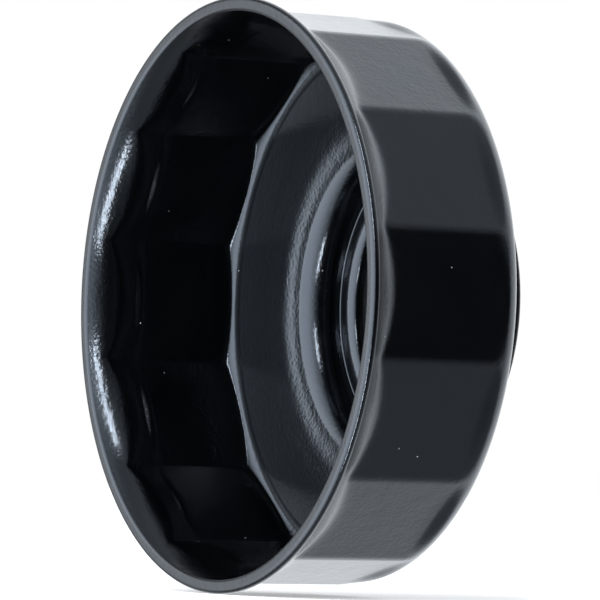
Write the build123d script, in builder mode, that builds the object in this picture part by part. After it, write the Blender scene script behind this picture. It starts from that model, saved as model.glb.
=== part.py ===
from build123d import *
import os
from math import cos, radians, sqrt

# Cap-type oil filter wrench, millimetres.
# The drive axis is Y: the mouth opens towards -Y and the ratchet plugs in from +Y.
# The origin is the middle of the square hole, on the outer face of the drive hub.
# Depths are measured along the axis from the plane of the mouth.

# Wall
flat_count = 14
across_flats = 74.0
sheet = 1.8
inner_edge_radius = 1.0
outer_edge_radius = 1.5

# Flared rim: an arc that turns outward, centred outside the cup
flare_radius = 15.3
flare_centre_radius = 52.9
flare_centre_depth = 10.5
rim_rounding = 0.45
flare_overlap = 0.6

# Floor, on the side that faces the mouth
floor_depth = 23.2
corner_radius = 2.5
step_outer_radius = 26.8
step_outer_depth = 24.6
step_inner_radius = 23.8
step_inner_depth = 26.3
step_rounding = 1.2

# Boss drawn outward from the floor, pierced by a round hole
boss_radius = 21.4
boss_mouth_depth = 26.5
boss_mouth_rounding = 2.1
boss_floor_depth = 31.2
boss_corner_radius = 1.2
hole_radius = 17.3
hole_edge_rounding = 0.4

# Square-drive hub, welded to the end of the boss
drive_square = 9.65
drive_square_rounding = 0.4
lead_in_radius = 7.1
lead_in_slope = 1.0
flange_radius = 22.6
flange_thickness = 2.1
flange_rounding = 0.9
hub_radius = 13.5
hub_height = 2.9
hub_chamfer = 0.8
collar_radius = 10.5
collar_height = 2.4
collar_chamfer = 0.7
detent_radius = 5.5
detent_width = 2.4
detent_depth = 3.2

# Worked out
half_turn = 180 / flat_count
inner_apothem = across_flats / 2
outer_apothem = inner_apothem + sheet
inner_vertex_radius = inner_apothem / cos(radians(half_turn))
outer_vertex_radius = outer_apothem / cos(radians(half_turn))
boss_end_depth = boss_floor_depth + sheet
flange_depth = boss_end_depth + flange_thickness
overall_length = flange_depth + hub_height
collar_depth = boss_end_depth - collar_height


def station(depth):
    """Y of a depth measured from the mouth plane."""
    return depth - overall_length


def section(depth):
    """Plane across the drive axis, facing the drive side."""
    return Plane(origin=(0, station(depth), 0), x_dir=(1, 0, 0), z_dir=(0, 1, 0))


def on_flare(arc_radius, depth):
    """Radius of the flare's arc at a depth."""
    return flare_centre_radius - sqrt(arc_radius**2 - (flare_centre_depth - depth) ** 2)


def flare_end_depth(arc_radius, radius):
    """Depth where the flare's arc has come in to a radius."""
    return flare_centre_depth - sqrt(arc_radius**2 - (flare_centre_radius - radius) ** 2)


def pressed_form(apothem, edge_radius, outline, roundings, arc_radius, mouth_rounding):
    """Solid bounded by one side of the sheet: flats, corner, floor, boss and flare."""
    last_depth = outline[-1][1]
    arc_end = apothem - flare_overlap
    arc_depth = flare_end_depth(arc_radius, arc_end)
    with BuildPart() as form:
        with BuildSketch(section(0)):
            RegularPolygon(apothem, flat_count, major_radius=False, rotation=half_turn)
            fillet(vertices(), edge_radius)
        extrude(amount=last_depth)
        with BuildSketch(Plane.XY):
            with BuildLine():
                points = [(radius, station(depth)) for radius, depth in outline]
                FilletPolyline(*points, radius=roundings)
                Polyline(points[-1], (0, station(0)), points[0])
            make_face()
        revolve(axis=Axis.Y, mode=Mode.INTERSECT)
        with BuildSketch(Plane.XY) as flare:
            with BuildLine():
                start = (on_flare(arc_radius, 0), station(0))
                middle = (on_flare(arc_radius, arc_depth / 2), station(arc_depth / 2))
                end = (arc_end, station(arc_depth))
                ThreePointArc(start, middle, end)
                Polyline(end, (0, station(arc_depth)), (0, station(0)), start)
            make_face()
            if mouth_rounding > 0:
                fillet(flare.vertices().sort_by(Axis.X)[-1], mouth_rounding)
        revolve(axis=Axis.Y)
    return form.part


inner_outline = [
    (inner_vertex_radius, 0),
    (inner_vertex_radius, floor_depth),
    (step_outer_radius, step_outer_depth),
    (step_inner_radius, step_inner_depth),
    (boss_radius, boss_mouth_depth),
    (boss_radius, boss_floor_depth),
    (0, boss_floor_depth),
]
inner_roundings = [corner_radius, step_rounding, 0, boss_mouth_rounding, boss_corner_radius]
outer_outline = [
    (outer_vertex_radius, 0),
    (outer_vertex_radius, floor_depth + sheet),
    (step_outer_radius, step_outer_depth + sheet),
    (boss_radius + sheet, boss_mouth_depth + sheet),
    (boss_radius + sheet, boss_end_depth),
    (0, boss_end_depth),
]
outer_roundings = [corner_radius + sheet, step_rounding + sheet, 0, boss_corner_radius + sheet]
inner_form = pressed_form(
    inner_apothem, inner_edge_radius, inner_outline, inner_roundings, flare_radius + sheet, 0
)
outer_form = pressed_form(
    outer_apothem, outer_edge_radius, outer_outline, outer_roundings, flare_radius, rim_rounding
)

# Cup: one sheet between the outer and the inner form, with a hole in the boss
with BuildPart() as cup:
    add(outer_form)
    add(inner_form, mode=Mode.SUBTRACT)
    with BuildSketch(section(boss_floor_depth)):
        Circle(hole_radius)
    extrude(amount=sheet, mode=Mode.SUBTRACT)
    hole_wall = faces().filter_by(GeomType.CYLINDER).sort_by(lambda face: abs(face.radius - hole_radius))[0]
    fillet(hole_wall.edges().filter_by(GeomType.CIRCLE).sort_by(Axis.Y)[0], hole_edge_rounding)

# Drive hub: flange against the end of the boss, hub outside it, collar inside the hole
with BuildPart() as drive_hub:
    with BuildSketch(Plane.XY):
        with BuildLine():
            Polyline(
                (0, station(collar_depth)),
                (collar_radius, station(collar_depth)),
                (collar_radius, station(boss_end_depth)),
                (flange_radius, station(boss_end_depth)),
                (flange_radius, station(flange_depth)),
                (hub_radius, station(flange_depth)),
                (hub_radius, station(overall_length)),
                (0, station(overall_length)),
                close=True,
            )
        make_face()
    revolve(axis=Axis.Y)
    rims = edges().filter_by(GeomType.CIRCLE).group_by(Axis.Y)
    flange_rim = rims[-2].sort_by(SortBy.RADIUS)[-1]
    fillet(flange_rim, flange_rounding)
    chamfer(edges().filter_by(GeomType.CIRCLE).group_by(Axis.Y)[-1], hub_chamfer)
    chamfer(edges().filter_by(GeomType.CIRCLE).group_by(Axis.Y)[0], collar_chamfer)
    with BuildSketch(section(collar_depth)):
        Rectangle(drive_square, drive_square)
        fillet(vertices(), drive_square_rounding)
    extrude(amount=overall_length - collar_depth, mode=Mode.SUBTRACT)
    # Lead-in cone around the square, on the ratchet's side
    with BuildSketch(Plane.XY):
        with BuildLine():
            Polyline((0, 0), (lead_in_radius, 0), (0, -lead_in_radius * lead_in_slope), close=True)
        make_face()
    revolve(axis=Axis.Y, mode=Mode.SUBTRACT)
    # Groove that the ratchet's ball snaps into
    with BuildSketch(section(overall_length - detent_depth - detent_width)):
        Circle(detent_radius)
    extrude(amount=detent_width, mode=Mode.SUBTRACT)

cup.part.label = "cup"
drive_hub.part.label = "drive_hub"

os.makedirs("parts", exist_ok=True)
export_step(cup.part, "parts/cup.step")
export_step(drive_hub.part, "parts/drive_hub.step")
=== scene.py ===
"""Looks of a cap-type oil filter wrench: a pressed steel cup with a black coating, and its drive hub."""

import math

import bpy
import numpy as np
from mathutils import Matrix, Vector


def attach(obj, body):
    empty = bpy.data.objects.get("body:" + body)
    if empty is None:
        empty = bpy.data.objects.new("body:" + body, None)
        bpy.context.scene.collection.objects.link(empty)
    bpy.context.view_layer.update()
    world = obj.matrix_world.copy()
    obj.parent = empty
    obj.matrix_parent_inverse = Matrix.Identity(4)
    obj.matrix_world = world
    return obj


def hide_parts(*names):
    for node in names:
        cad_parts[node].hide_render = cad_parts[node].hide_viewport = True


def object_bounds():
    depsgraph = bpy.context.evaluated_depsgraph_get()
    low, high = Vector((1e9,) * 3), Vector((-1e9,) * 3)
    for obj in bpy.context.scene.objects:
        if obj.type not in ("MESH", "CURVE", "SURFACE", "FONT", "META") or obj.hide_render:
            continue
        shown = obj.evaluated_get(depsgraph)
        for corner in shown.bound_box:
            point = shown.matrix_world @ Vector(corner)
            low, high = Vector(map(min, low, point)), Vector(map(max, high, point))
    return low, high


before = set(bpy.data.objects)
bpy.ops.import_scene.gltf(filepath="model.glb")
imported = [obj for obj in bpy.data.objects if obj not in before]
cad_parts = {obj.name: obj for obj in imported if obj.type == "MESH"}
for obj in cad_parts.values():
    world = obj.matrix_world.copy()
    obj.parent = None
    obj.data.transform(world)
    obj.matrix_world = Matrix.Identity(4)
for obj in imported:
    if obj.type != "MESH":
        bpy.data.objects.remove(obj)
cad_low, cad_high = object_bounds()

MM = 0.001

# Cup, in millimetres. Depths are measured along the drive axis from the mouth.
FLAT_COUNT = 14
ACROSS_FLATS = 74.0
SHEET = 1.8
INNER_EDGE_RADIUS = 1.2
OUTER_EDGE_RADIUS = 3.2
WALL_TAPER = math.tan(math.radians(0.3))
TAPER_DEPTH = 5.0

# Flared rim: arcs centred outside the cup, at (radius, depth), and the roundings of its end
FLARE_RADIUS = 14.8
FLARE_CENTRE = (52.4, 10.6)
FLARE_END_DEPTH = 6.5
INNER_FLARE_RADIUS = 12.0
INNER_FLARE_CENTRE = (49.03, 7.2)
FLARE_BLEND = 0.3
RIM_ROUNDING = 0.65
RIM_INNER_ROUNDING = 0.6

# Outside of the corner between wall and floor: the flats run out into a round roll
ROLL_RADIUS = 39.4
ROLL_ROUNDING = 3.5
RUNOUT = (20.2, 22.6)

# Inside of the corner: a round corner cuts the flats, and blends with them only outside BLEND_END_RADIUS
CORNER_RADIUS = 37.95
CORNER_ROUNDING = 2.5
CORNER_APPROACH = 2.0
CORNER_BLEND = 0.25
CORNER_WIDENING = 0.125
BLEND_END_RADIUS = 36.5
FLOOR_EDGE_DEPTH = 23.2

# Mouth side of the floor, from the corner to the boss, as (radius, slope in degrees)
FLOOR_SLOPES = [
    (35.45, 13.0), (31.0, 11.0), (26.6, 10.5), (25.4, 14.8),
    (24.7, 16.0), (24.2, 15.6), (23.6, 12.5), (22.9, 12.0),
]

# Boss: its mouth is rounded by an ellipse, (across, along) the axis, that starts at a slope in degrees
BOSS_MOUTH_START = 12.0
BOSS_RADIUS = 20.2
BOSS_MOUTH_ROUNDING = (3.3, 4.7)
BOSS_FLOOR_DEPTH = 31.2
BOSS_CORNER_RADIUS = 0.25
HOLE_RADIUS = 17.0
HOLE_EDGE_ROUNDING = 1.5

# The back of a tight bend is trimmed where it would come nearer to the front than this part of the sheet
FOLD_LIMIT = 0.99

# Room light: level everywhere, and levels around a direction as (direction, inner and outer angle, level)
WORLD_BASE = 0.05
WORLD_TINT = (0.93, 0.965, 1.0)
WORLD_LOBES = [
    ((-0.6, 0.8, 0.0), 30.0, 79.0, 1.5),
    ((0.15, 0.4, 1.0), 15.0, 70.0, 0.75),
    ((0.15, 0.4, -1.0), 15.0, 70.0, 0.5),
    ((-0.05, -1.0, 0.0), 15.0, 75.0, 5.0),
]

# Strip lights above and below the camera: degrees, metres and watts
STRIP_AZIMUTH = 56.0
STRIP_ELEVATION = 38.0
STRIP_DISTANCE = 1.0
STRIP_WIDTH = 0.042
STRIP_HEIGHT = 0.75
STRIP_POWER = 5.6

# Camera, as measured from the photograph: degrees, metres, and millimetres for the lens
CAMERA_AZIMUTH = 59.873
CAMERA_ELEVATION = -1.729
CAMERA_ROLL = -1.626
CAMERA_DISTANCE = 0.8073
CAMERA_AIM_DEPTH = 0.01277
CAMERA_AIM_HEIGHT = -0.0002
CAMERA_LENS = 348.46
CAMERA_SENSOR = 36.0

FLOOR_HALF_SIDE = 4.0
FLOOR_GREY = 0.75
FLOOR_GLOW = 0.35

MOUTH_Y = cad_low.y
HALF_FLAT = math.pi / FLAT_COUNT


def smooth_max(a, b, width):
    """Larger of two values, blended over about a width."""
    return 0.5 * (a + b + np.sqrt((a - b) ** 2 + width**2))


def smooth_min(a, b, width):
    """Smaller of two values, blended over about a width."""
    return 0.5 * (a + b - np.sqrt((a - b) ** 2 + width**2))


def smooth_step(value, start, end):
    """0 before start, 1 after end, with level ends."""
    t = np.clip((value - start) / (end - start), 0.0, 1.0)
    return t * t * (3.0 - 2.0 * t)


def polygon_radius(angle, apothem, edge_radius):
    """Radius at an angle of the fourteen-sided outline with rounded edges, an edge at angle 0."""
    off = np.abs((angle + HALF_FLAT) % (2.0 * HALF_FLAT) - HALF_FLAT)
    flat = apothem / np.cos(HALF_FLAT - off)
    centre = (apothem - edge_radius) / math.cos(HALF_FLAT)
    inside = np.maximum(edge_radius**2 - (centre * np.sin(off)) ** 2, 0.0)
    edge = centre * np.cos(off) + np.sqrt(inside)
    reach = edge_radius * math.tan(HALF_FLAT)
    tangent_across = reach * math.cos(HALF_FLAT)
    tangent_out = apothem / math.cos(HALF_FLAT) - reach * math.sin(HALF_FLAT)
    return np.where(off < math.atan(tangent_across / tangent_out), edge, flat)


def sector_angles():
    """Angles round the cup, closer together at the edges between flats."""
    near_edge = [0.0, 0.14, 0.28, 0.42, 0.58, 0.8, 1.15, 1.7, 2.5]
    across_flat = np.linspace(3.5, math.degrees(HALF_FLAT), 8)
    half = np.radians(np.concatenate([near_edge, across_flat]))
    sector = np.concatenate([half, 2.0 * HALF_FLAT - half[-2:0:-1]])
    return np.concatenate([sector + 2.0 * HALF_FLAT * k for k in range(FLAT_COUNT)])


def arc(centre, radius, start, end, count):
    """Points (radius, depth) on an arc between two angles in degrees, both ends included."""
    t = np.radians(np.linspace(start, end, count))
    return np.stack([centre[0] + radius * np.cos(t), centre[1] + radius * np.sin(t)], axis=1)


def floor_curve():
    """Mouth side of the floor and boss, from the corner inward to the hole's edge, as (radius, depth)."""
    slope_radius, slope = np.array(FLOOR_SLOPES).T
    floor_r = np.linspace(slope_radius[0], slope_radius[-1], 90)
    fall = np.tan(np.radians(np.interp(floor_r, slope_radius[::-1], slope[::-1])))
    drops = 0.5 * (fall[1:] + fall[:-1]) * -np.diff(floor_r)
    floor_d = FLOOR_EDGE_DEPTH + np.concatenate([[0.0], np.cumsum(drops)])
    floor = np.stack([floor_r, floor_d], axis=1)
    across, along = BOSS_MOUTH_ROUNDING
    mouth = arc((BOSS_RADIUS / across + 1.0, 0.0), 1.0, 270 - BOSS_MOUTH_START, 180, 24) * (across, along)
    mouth = mouth[1:] + (0.0, floor_d[-1] - mouth[0][1])
    corner_centre = (BOSS_RADIUS - BOSS_CORNER_RADIUS, BOSS_FLOOR_DEPTH - BOSS_CORNER_RADIUS)
    wall_d = np.linspace(mouth[-1][1], corner_centre[1], 4)[1:-1]
    wall = np.stack([np.full_like(wall_d, BOSS_RADIUS), wall_d], axis=1)
    corner = arc(corner_centre, BOSS_CORNER_RADIUS, 0, 90, 10)
    land_r = np.linspace(corner[-1][0], HOLE_RADIUS + HOLE_EDGE_ROUNDING, 6)[1:-1]
    land = np.stack([land_r, np.full_like(land_r, BOSS_FLOOR_DEPTH)], axis=1)
    return np.concatenate([floor, mouth, wall, corner, land])


def offset_curve(points, distance):
    """Curve moved sideways, away from the mouth, by a distance, without the folds at tight bends."""
    tangent = np.gradient(points, axis=0)
    tangent /= np.linalg.norm(tangent, axis=1)[:, None]
    normal = np.stack([-tangent[:, 1], tangent[:, 0]], axis=1)
    moved = points - distance * normal
    gap = np.linalg.norm(moved[:, None] - points[None], axis=2).min(axis=1)
    return moved[gap > FOLD_LIMIT * distance]


def flats_radius(angle, depth, outside):
    """Radius of the flats with their rounded edges, drawn in slightly towards the floor."""
    apothem = ACROSS_FLATS / 2 + (SHEET if outside else 0.0)
    edge_radius = OUTER_EDGE_RADIUS if outside else INNER_EDGE_RADIUS
    return polygon_radius(angle, apothem, edge_radius) - WALL_TAPER * (depth - TAPER_DEPTH)


def outer_wall_radius(angle, depth):
    """Radius of the outside of the wall: flats that run out into the round roll."""
    out = smooth_step(depth, *RUNOUT)
    return flats_radius(angle, depth, True) * (1.0 - out) + ROLL_RADIUS * out


def flare(outside):
    """Arc of the flare on one side of the sheet: radius and centre."""
    return (FLARE_RADIUS, FLARE_CENTRE) if outside else (INNER_FLARE_RADIUS, INNER_FLARE_CENTRE)


def flare_radius_at(depth, outside):
    """Distance from the drive axis to the flare's arc at a depth."""
    arc_radius, centre = flare(outside)
    return centre[0] - np.sqrt(arc_radius**2 - np.minimum(depth - centre[1], 0.0) ** 2)


def rim_arc(outside):
    """Rounding between the end of the rim and one side of the flare."""
    arc_radius, flare_centre = flare(outside)
    rounding = RIM_ROUNDING if outside else RIM_INNER_ROUNDING
    reach = arc_radius + rounding if outside else arc_radius - rounding
    centre = (flare_centre[0] - math.sqrt(reach**2 - (flare_centre[1] - rounding) ** 2), rounding)
    tangent = math.degrees(math.atan2(flare_centre[1] - centre[1], flare_centre[0] - centre[0]))
    return arc(centre, rounding, -90, tangent if outside else tangent - 180, 12)


def row_at(radius, depth):
    """Row of points at one depth, with a radius for every angle."""
    return np.stack([radius, np.full_like(radius, depth)], axis=1)


def round_rows(points, angle):
    """Rows that are full circles, one for each (radius, depth)."""
    return [np.tile(point, (len(angle), 1)) for point in points]


def outer_rows(angle):
    """Rows (radius, depth) of the outside from the rim's end down to the bottom, for every angle."""
    rim = rim_arc(True)
    roll_centre = (ROLL_RADIUS - ROLL_ROUNDING, FLOOR_EDGE_DEPTH + SHEET - ROLL_ROUNDING)
    depths = np.concatenate([
        np.linspace(rim[-1][1], FLARE_END_DEPTH, 36)[1:],
        np.linspace(FLARE_END_DEPTH, RUNOUT[0], 10)[1:],
        np.linspace(RUNOUT[0], roll_centre[1], 6)[1:],
    ])
    rows = round_rows(rim, angle)
    for depth in depths:
        wall = outer_wall_radius(angle, depth)
        rows.append(row_at(smooth_max(wall, flare_radius_at(depth, True), FLARE_BLEND), depth))
    for turn in np.radians(np.linspace(0.0, 90.0, 24)[1:]):
        depth = roll_centre[1] + ROLL_ROUNDING * math.sin(turn)
        extra = outer_wall_radius(angle, depth) - ROLL_RADIUS
        rows.append(row_at(roll_centre[0] + (ROLL_ROUNDING + extra) * math.cos(turn), depth))
    return rows


def inner_rows(angle):
    """Rows (radius, depth) of the inside from the rim's end down to the floor's edge, for every angle."""
    rim = rim_arc(False)
    flare_end = INNER_FLARE_CENTRE[1]
    corner_depth = FLOOR_EDGE_DEPTH - CORNER_ROUNDING
    depths = np.concatenate([
        np.linspace(rim[-1][1], flare_end, 44)[1:],
        np.linspace(flare_end, corner_depth - CORNER_APPROACH, 10)[1:],
        np.linspace(corner_depth - CORNER_APPROACH, corner_depth, 7)[1:],
    ])
    limits = [(CORNER_RADIUS + CORNER_WIDENING * (corner_depth - depth), depth) for depth in depths]
    corner = arc((CORNER_RADIUS - CORNER_ROUNDING, corner_depth), CORNER_ROUNDING, 0, 90, 30)[1:]
    rows = round_rows(rim, angle)
    for limit, depth in limits + [tuple(point) for point in corner]:
        blend = CORNER_BLEND if limit > BLEND_END_RADIUS else 0.0
        radius = smooth_min(flats_radius(angle, depth, False), limit, blend)
        if depth < flare_end:
            radius = smooth_max(radius, flare_radius_at(depth, False), FLARE_BLEND)
        rows.append(row_at(radius, depth))
    return rows


def cup_rows(angle):
    """All rows of the cup's closed section: outside, rim, inside, floor, boss, hole and back of the boss."""
    outer = outer_rows(angle)
    inner = inner_rows(angle)
    rim_end = [(radius, 0.0) for radius in np.linspace(inner[0][0][0], outer[0][0][0], 5)[1:-1]]
    face = floor_curve()
    back = offset_curve(face, SHEET)
    lip_centre = (HOLE_RADIUS + HOLE_EDGE_ROUNDING, BOSS_FLOOR_DEPTH + HOLE_EDGE_ROUNDING)
    lip = arc(lip_centre, HOLE_EDGE_ROUNDING, 270, 180, 7)
    hole_d = np.linspace(lip[-1][1], BOSS_FLOOR_DEPTH + SHEET, 4)[1:]
    hole = np.stack([np.full_like(hole_d, HOLE_RADIUS), hole_d], axis=1)
    rows = outer[::-1] + round_rows(rim_end, angle)[::-1] + inner
    rows += round_rows(np.concatenate([face[1:], lip, hole]), angle)
    rows += round_rows(back[1:][::-1], angle)
    return rows


def ring_mesh(name, rows, angle):
    """Closed mesh of revolution from rows of (radius, depth) at each angle, angle 0 at the top."""
    section = np.array(rows)
    radius, depth = section[..., 0] * MM, section[..., 1] * MM
    points = np.stack([radius * np.sin(angle), depth + MOUTH_Y, radius * np.cos(angle)], axis=-1)
    upper = np.arange(radius.size).reshape(radius.shape)
    lower = np.roll(upper, -1, axis=0)
    upper_next, lower_next = np.roll(upper, -1, axis=1), np.roll(lower, -1, axis=1)
    faces = np.stack([upper, lower, lower_next, upper_next], axis=-1).reshape(-1, 4)
    mesh = bpy.data.meshes.new(name)
    mesh.from_pydata(points.reshape(-1, 3).tolist(), [], faces.tolist())
    mesh.update()
    mesh.shade_smooth()
    piece = bpy.data.objects.new(name, mesh)
    bpy.context.scene.collection.objects.link(piece)
    return piece


def add_node(tree, kind, **settings):
    """New shader node with its properties set."""
    node = tree.nodes.new(kind)
    for key, value in settings.items():
        setattr(node, key, value)
    return node


def mapped_noise(tree, scale, stretch=(1.0, 1.0, 1.0), detail=2.0, roughness=0.5):
    """Noise in object coordinates, in cycles per metre, stretched per axis. Returns the factor socket."""
    coordinates = add_node(tree, "ShaderNodeTexCoord")
    mapping = add_node(tree, "ShaderNodeMapping")
    mapping.inputs["Scale"].default_value = stretch
    noise = add_node(tree, "ShaderNodeTexNoise")
    noise.inputs["Scale"].default_value = scale
    noise.inputs["Detail"].default_value = detail
    noise.inputs["Roughness"].default_value = roughness
    tree.links.new(coordinates.outputs["Object"], mapping.inputs["Vector"])
    tree.links.new(mapping.outputs["Vector"], noise.inputs["Vector"])
    return noise.outputs["Fac"]


def map_range(tree, value, low, high, to_low, to_high, smooth=False):
    """Value socket mapped from one range to another, clamped."""
    node = add_node(tree, "ShaderNodeMapRange", interpolation_type="SMOOTHSTEP" if smooth else "LINEAR")
    node.inputs["From Min"].default_value = low
    node.inputs["From Max"].default_value = high
    node.inputs["To Min"].default_value = to_low
    node.inputs["To Max"].default_value = to_high
    tree.links.new(value, node.inputs["Value"])
    return node.outputs["Result"]


def math_node(tree, operation, a, b):
    """Math on two sockets or numbers."""
    node = add_node(tree, "ShaderNodeMath", operation=operation)
    for socket, value in zip(node.inputs, (a, b)):
        if isinstance(value, (int, float)):
            socket.default_value = value
        else:
            tree.links.new(value, socket)
    return node.outputs["Value"]


def add_bump(tree, height, distance, strength, under=None):
    """Bump from a height socket, on top of another bump's normal. Returns the normal socket."""
    bump = add_node(tree, "ShaderNodeBump")
    bump.inputs["Distance"].default_value = distance
    bump.inputs["Strength"].default_value = strength
    tree.links.new(height, bump.inputs["Height"])
    if under is not None:
        tree.links.new(under, bump.inputs["Normal"])
    return bump.outputs["Normal"]


def dust(tree, scale, size):
    """1 on tiny scattered specks, 0 elsewhere: cells per metre, and a speck's radius as a part of a cell."""
    coordinates = add_node(tree, "ShaderNodeTexCoord")
    cells = add_node(tree, "ShaderNodeTexVoronoi")
    cells.inputs["Scale"].default_value = scale
    tree.links.new(coordinates.outputs["Object"], cells.inputs["Vector"])
    return map_range(tree, cells.outputs["Distance"], 0.6 * size, size, 1.0, 0.0)


def mix_colour(tree, factor, first, second):
    """Colour between two colours, each a tuple or a socket, by a factor socket."""
    mix = add_node(tree, "ShaderNodeMix", data_type="RGBA")
    tree.links.new(factor, mix.inputs["Factor"])
    for socket, value in ((mix.inputs[6], first), (mix.inputs[7], second)):
        if isinstance(value, tuple):
            socket.default_value = (*value, 1.0)
        else:
            tree.links.new(value, socket)
    return mix.outputs[2]


def new_material(name):
    """New node material: the material, its tree and its main shader."""
    material = bpy.data.materials.new(name)
    material.use_nodes = True
    return material, material.node_tree, material.node_tree.nodes["Principled BSDF"]


def black_coating():
    """Semi-gloss black coating: orange peel, fine marks round the cup, small changes of gloss, and dust."""
    material, tree, shader = new_material("black_coating")
    shader.inputs["IOR"].default_value = 1.55
    shader.inputs["Specular Tint"].default_value = (0.74, 0.85, 1.0, 1.0)
    peel = mapped_noise(tree, 2000.0, detail=3.0)
    ripple = mapped_noise(tree, 420.0, detail=2.0)
    streaks = mapped_noise(tree, 60.0, (1.0, 45.0, 1.0), detail=4.0, roughness=0.6)
    patches = mapped_noise(tree, 110.0, detail=4.0)
    specks = dust(tree, 260.0, 0.03)
    normal = add_bump(tree, ripple, 0.00005, 0.5)
    normal = add_bump(tree, peel, 0.00004, 0.7, normal)
    normal = add_bump(tree, streaks, 0.00001, 0.3, normal)
    tree.links.new(normal, shader.inputs["Normal"])
    gloss = map_range(tree, streaks, 0.3, 0.7, 0.12, 0.16)
    gloss = math_node(tree, "ADD", gloss, map_range(tree, patches, 0.3, 0.7, -0.02, 0.03))
    gloss = math_node(tree, "ADD", gloss, math_node(tree, "MULTIPLY", specks, 0.5))
    tree.links.new(gloss, shader.inputs["Roughness"])
    colour = mix_colour(tree, patches, (0.0002, 0.0003, 0.0004), (0.0006, 0.0007, 0.0009))
    colour = mix_colour(tree, specks, colour, (0.3, 0.31, 0.32))
    tree.links.new(colour, shader.inputs["Base Color"])
    return material


def black_oxide_steel():
    """Turned steel with a black oxide finish: rings of the turning tool and worn lighter patches."""
    material, tree, shader = new_material("black_oxide_steel")
    shader.inputs["Metallic"].default_value = 0.7
    shader.inputs["Specular IOR Level"].default_value = 0.2
    coordinates = add_node(tree, "ShaderNodeTexCoord")
    rings = add_node(tree, "ShaderNodeTexWave", wave_type="RINGS", rings_direction="Y")
    rings.inputs["Scale"].default_value = 900.0
    rings.inputs["Distortion"].default_value = 1.5
    rings.inputs["Detail"].default_value = 2.0
    tree.links.new(coordinates.outputs["Object"], rings.inputs["Vector"])
    patches = mapped_noise(tree, 300.0, detail=5.0)
    normal = add_bump(tree, rings.outputs["Fac"], 0.00001, 0.5)
    normal = add_bump(tree, patches, 0.00001, 0.4, normal)
    tree.links.new(normal, shader.inputs["Normal"])
    tree.links.new(map_range(tree, patches, 0.3, 0.7, 0.28, 0.42), shader.inputs["Roughness"])
    colour = mix_colour(tree, patches, (0.003, 0.0033, 0.0036), (0.009, 0.0095, 0.0105))
    tree.links.new(colour, shader.inputs["Base Color"])
    return material


def dress_hub(material):
    """The CAD's drive hub keeps its shape and gets its material."""
    slot = bpy.data.objects["drive_hub"].material_slots[0]
    slot.link = "OBJECT"
    slot.material = material


def build_cup(material):
    """The cup as one closed mesh, which stands for the CAD cup."""
    angle = sector_angles()
    cup = ring_mesh("cup_body", cup_rows(angle), angle)
    cup.data.materials.append(material)
    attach(cup, "root")
    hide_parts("cup")


def toward(azimuth, elevation):
    """Direction at an azimuth from -Y towards +X and an elevation, in degrees."""
    a, e = math.radians(azimuth), math.radians(elevation)
    return Vector((math.sin(a) * math.cos(e), -math.cos(a) * math.cos(e), math.sin(e)))


def build_camera():
    """Camera at the viewing angle of the photograph, aimed at a point near the drive axis."""
    back = toward(CAMERA_AZIMUTH, CAMERA_ELEVATION)
    aim = Vector((0.0, MOUTH_Y + CAMERA_AIM_DEPTH, CAMERA_AIM_HEIGHT))
    data = bpy.data.cameras.new("camera")
    data.sensor_width = CAMERA_SENSOR
    data.lens = CAMERA_LENS
    data.clip_start = 0.01
    data.clip_end = 20.0
    camera = bpy.data.objects.new("camera", data)
    bpy.context.scene.collection.objects.link(camera)
    camera.matrix_world = (
        Matrix.Translation(aim + back * CAMERA_DISTANCE)
        @ (-back).to_track_quat("-Z", "Y").to_matrix().to_4x4()
        @ Matrix.Rotation(-math.radians(CAMERA_ROLL), 4, "Z")
    )
    bpy.context.scene.camera = camera


def strip_light(name, elevation):
    """Narrow upright softbox that faces the middle of the mouth and isn't seen itself."""
    data = bpy.data.lights.new(name, "AREA")
    data.shape = "RECTANGLE"
    data.size = STRIP_WIDTH
    data.size_y = STRIP_HEIGHT
    data.energy = STRIP_POWER
    light = bpy.data.objects.new(name, data)
    bpy.context.scene.collection.objects.link(light)
    back = toward(STRIP_AZIMUTH, elevation)
    light.location = Vector((0.0, MOUTH_Y, 0.0)) + back * STRIP_DISTANCE
    light.rotation_euler = (-back).to_track_quat("-Z", "Y").to_euler()
    light.visible_camera = False


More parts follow.
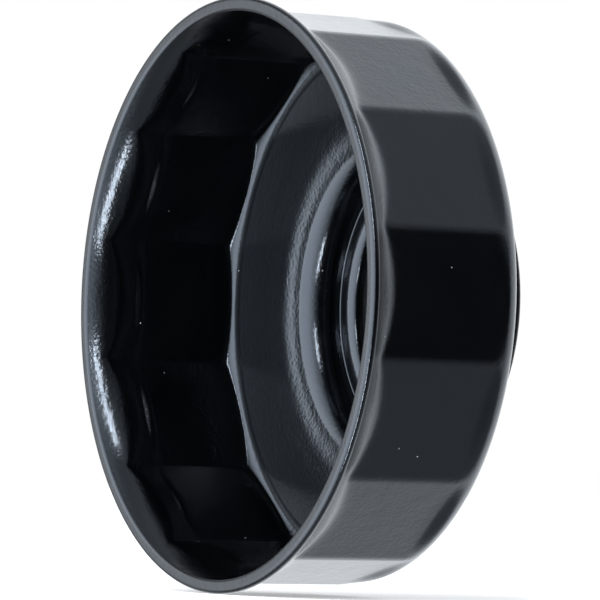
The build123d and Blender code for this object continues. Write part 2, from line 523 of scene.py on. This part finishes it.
def lobe(tree, direction, middle, inner, outer, level):
    """Light from around a direction: level within the inner angle, none past the outer one, in degrees."""
    dot = add_node(tree, "ShaderNodeVectorMath", operation="DOT_PRODUCT")
    dot.inputs[1].default_value = Vector(middle).normalized()
    tree.links.new(direction, dot.inputs[0])
    low, high = math.cos(math.radians(outer)), math.cos(math.radians(inner))
    return map_range(tree, dot.outputs["Value"], low, high, 0.0, level, smooth=True)


def build_world():
    """White backdrop for the camera, and for the light a room that is graded by WORLD_LOBES."""
    world = bpy.data.worlds.new("studio")
    world.use_nodes = True
    tree = world.node_tree
    direction = add_node(tree, "ShaderNodeTexCoord").outputs["Generated"]
    light = WORLD_BASE
    for middle, inner, outer, level in WORLD_LOBES:
        light = math_node(tree, "ADD", light, lobe(tree, direction, middle, inner, outer, level))
    seen = add_node(tree, "ShaderNodeLightPath").outputs["Is Camera Ray"]
    strength = add_node(tree, "ShaderNodeMix", data_type="FLOAT")
    tree.links.new(seen, strength.inputs[0])
    tree.links.new(light, strength.inputs[2])
    strength.inputs[3].default_value = 1.0
    background = tree.nodes["Background"]
    tree.links.new(mix_colour(tree, seen, WORLD_TINT, (1.0, 1.0, 1.0)), background.inputs["Color"])
    tree.links.new(strength.outputs[0], background.inputs["Strength"])
    bpy.context.scene.world = world


def build_floor():
    """Plain pale floor under the lowest point of the rim."""
    mesh = bpy.data.meshes.new("floor")
    side = FLOOR_HALF_SIDE
    corners = [(-side, -side, 0.0), (side, -side, 0.0), (side, side, 0.0), (-side, side, 0.0)]
    mesh.from_pydata(corners, [], [(0, 1, 2, 3)])
    floor = bpy.data.objects.new("floor", mesh)
    floor.location.z = cad_low.z
    bpy.context.scene.collection.objects.link(floor)
    material, _, shader = new_material("pale_floor")
    shader.inputs["Base Color"].default_value = (FLOOR_GREY, FLOOR_GREY, FLOOR_GREY, 1.0)
    shader.inputs["Roughness"].default_value = 0.8
    shader.inputs["Specular IOR Level"].default_value = 0.0
    shader.inputs["Emission Color"].default_value = (1.0, 1.0, 1.0, 1.0)
    shader.inputs["Emission Strength"].default_value = FLOOR_GLOW
    mesh.materials.append(material)
    floor.visible_glossy = False
    floor.visible_shadow = False


bpy.context.scene.view_settings.view_transform = "Standard"
build_cup(black_coating())
dress_hub(black_oxide_steel())
build_camera()
build_world()
build_floor()
strip_light("strip_above", STRIP_ELEVATION)
strip_light("strip_below", -STRIP_ELEVATION)
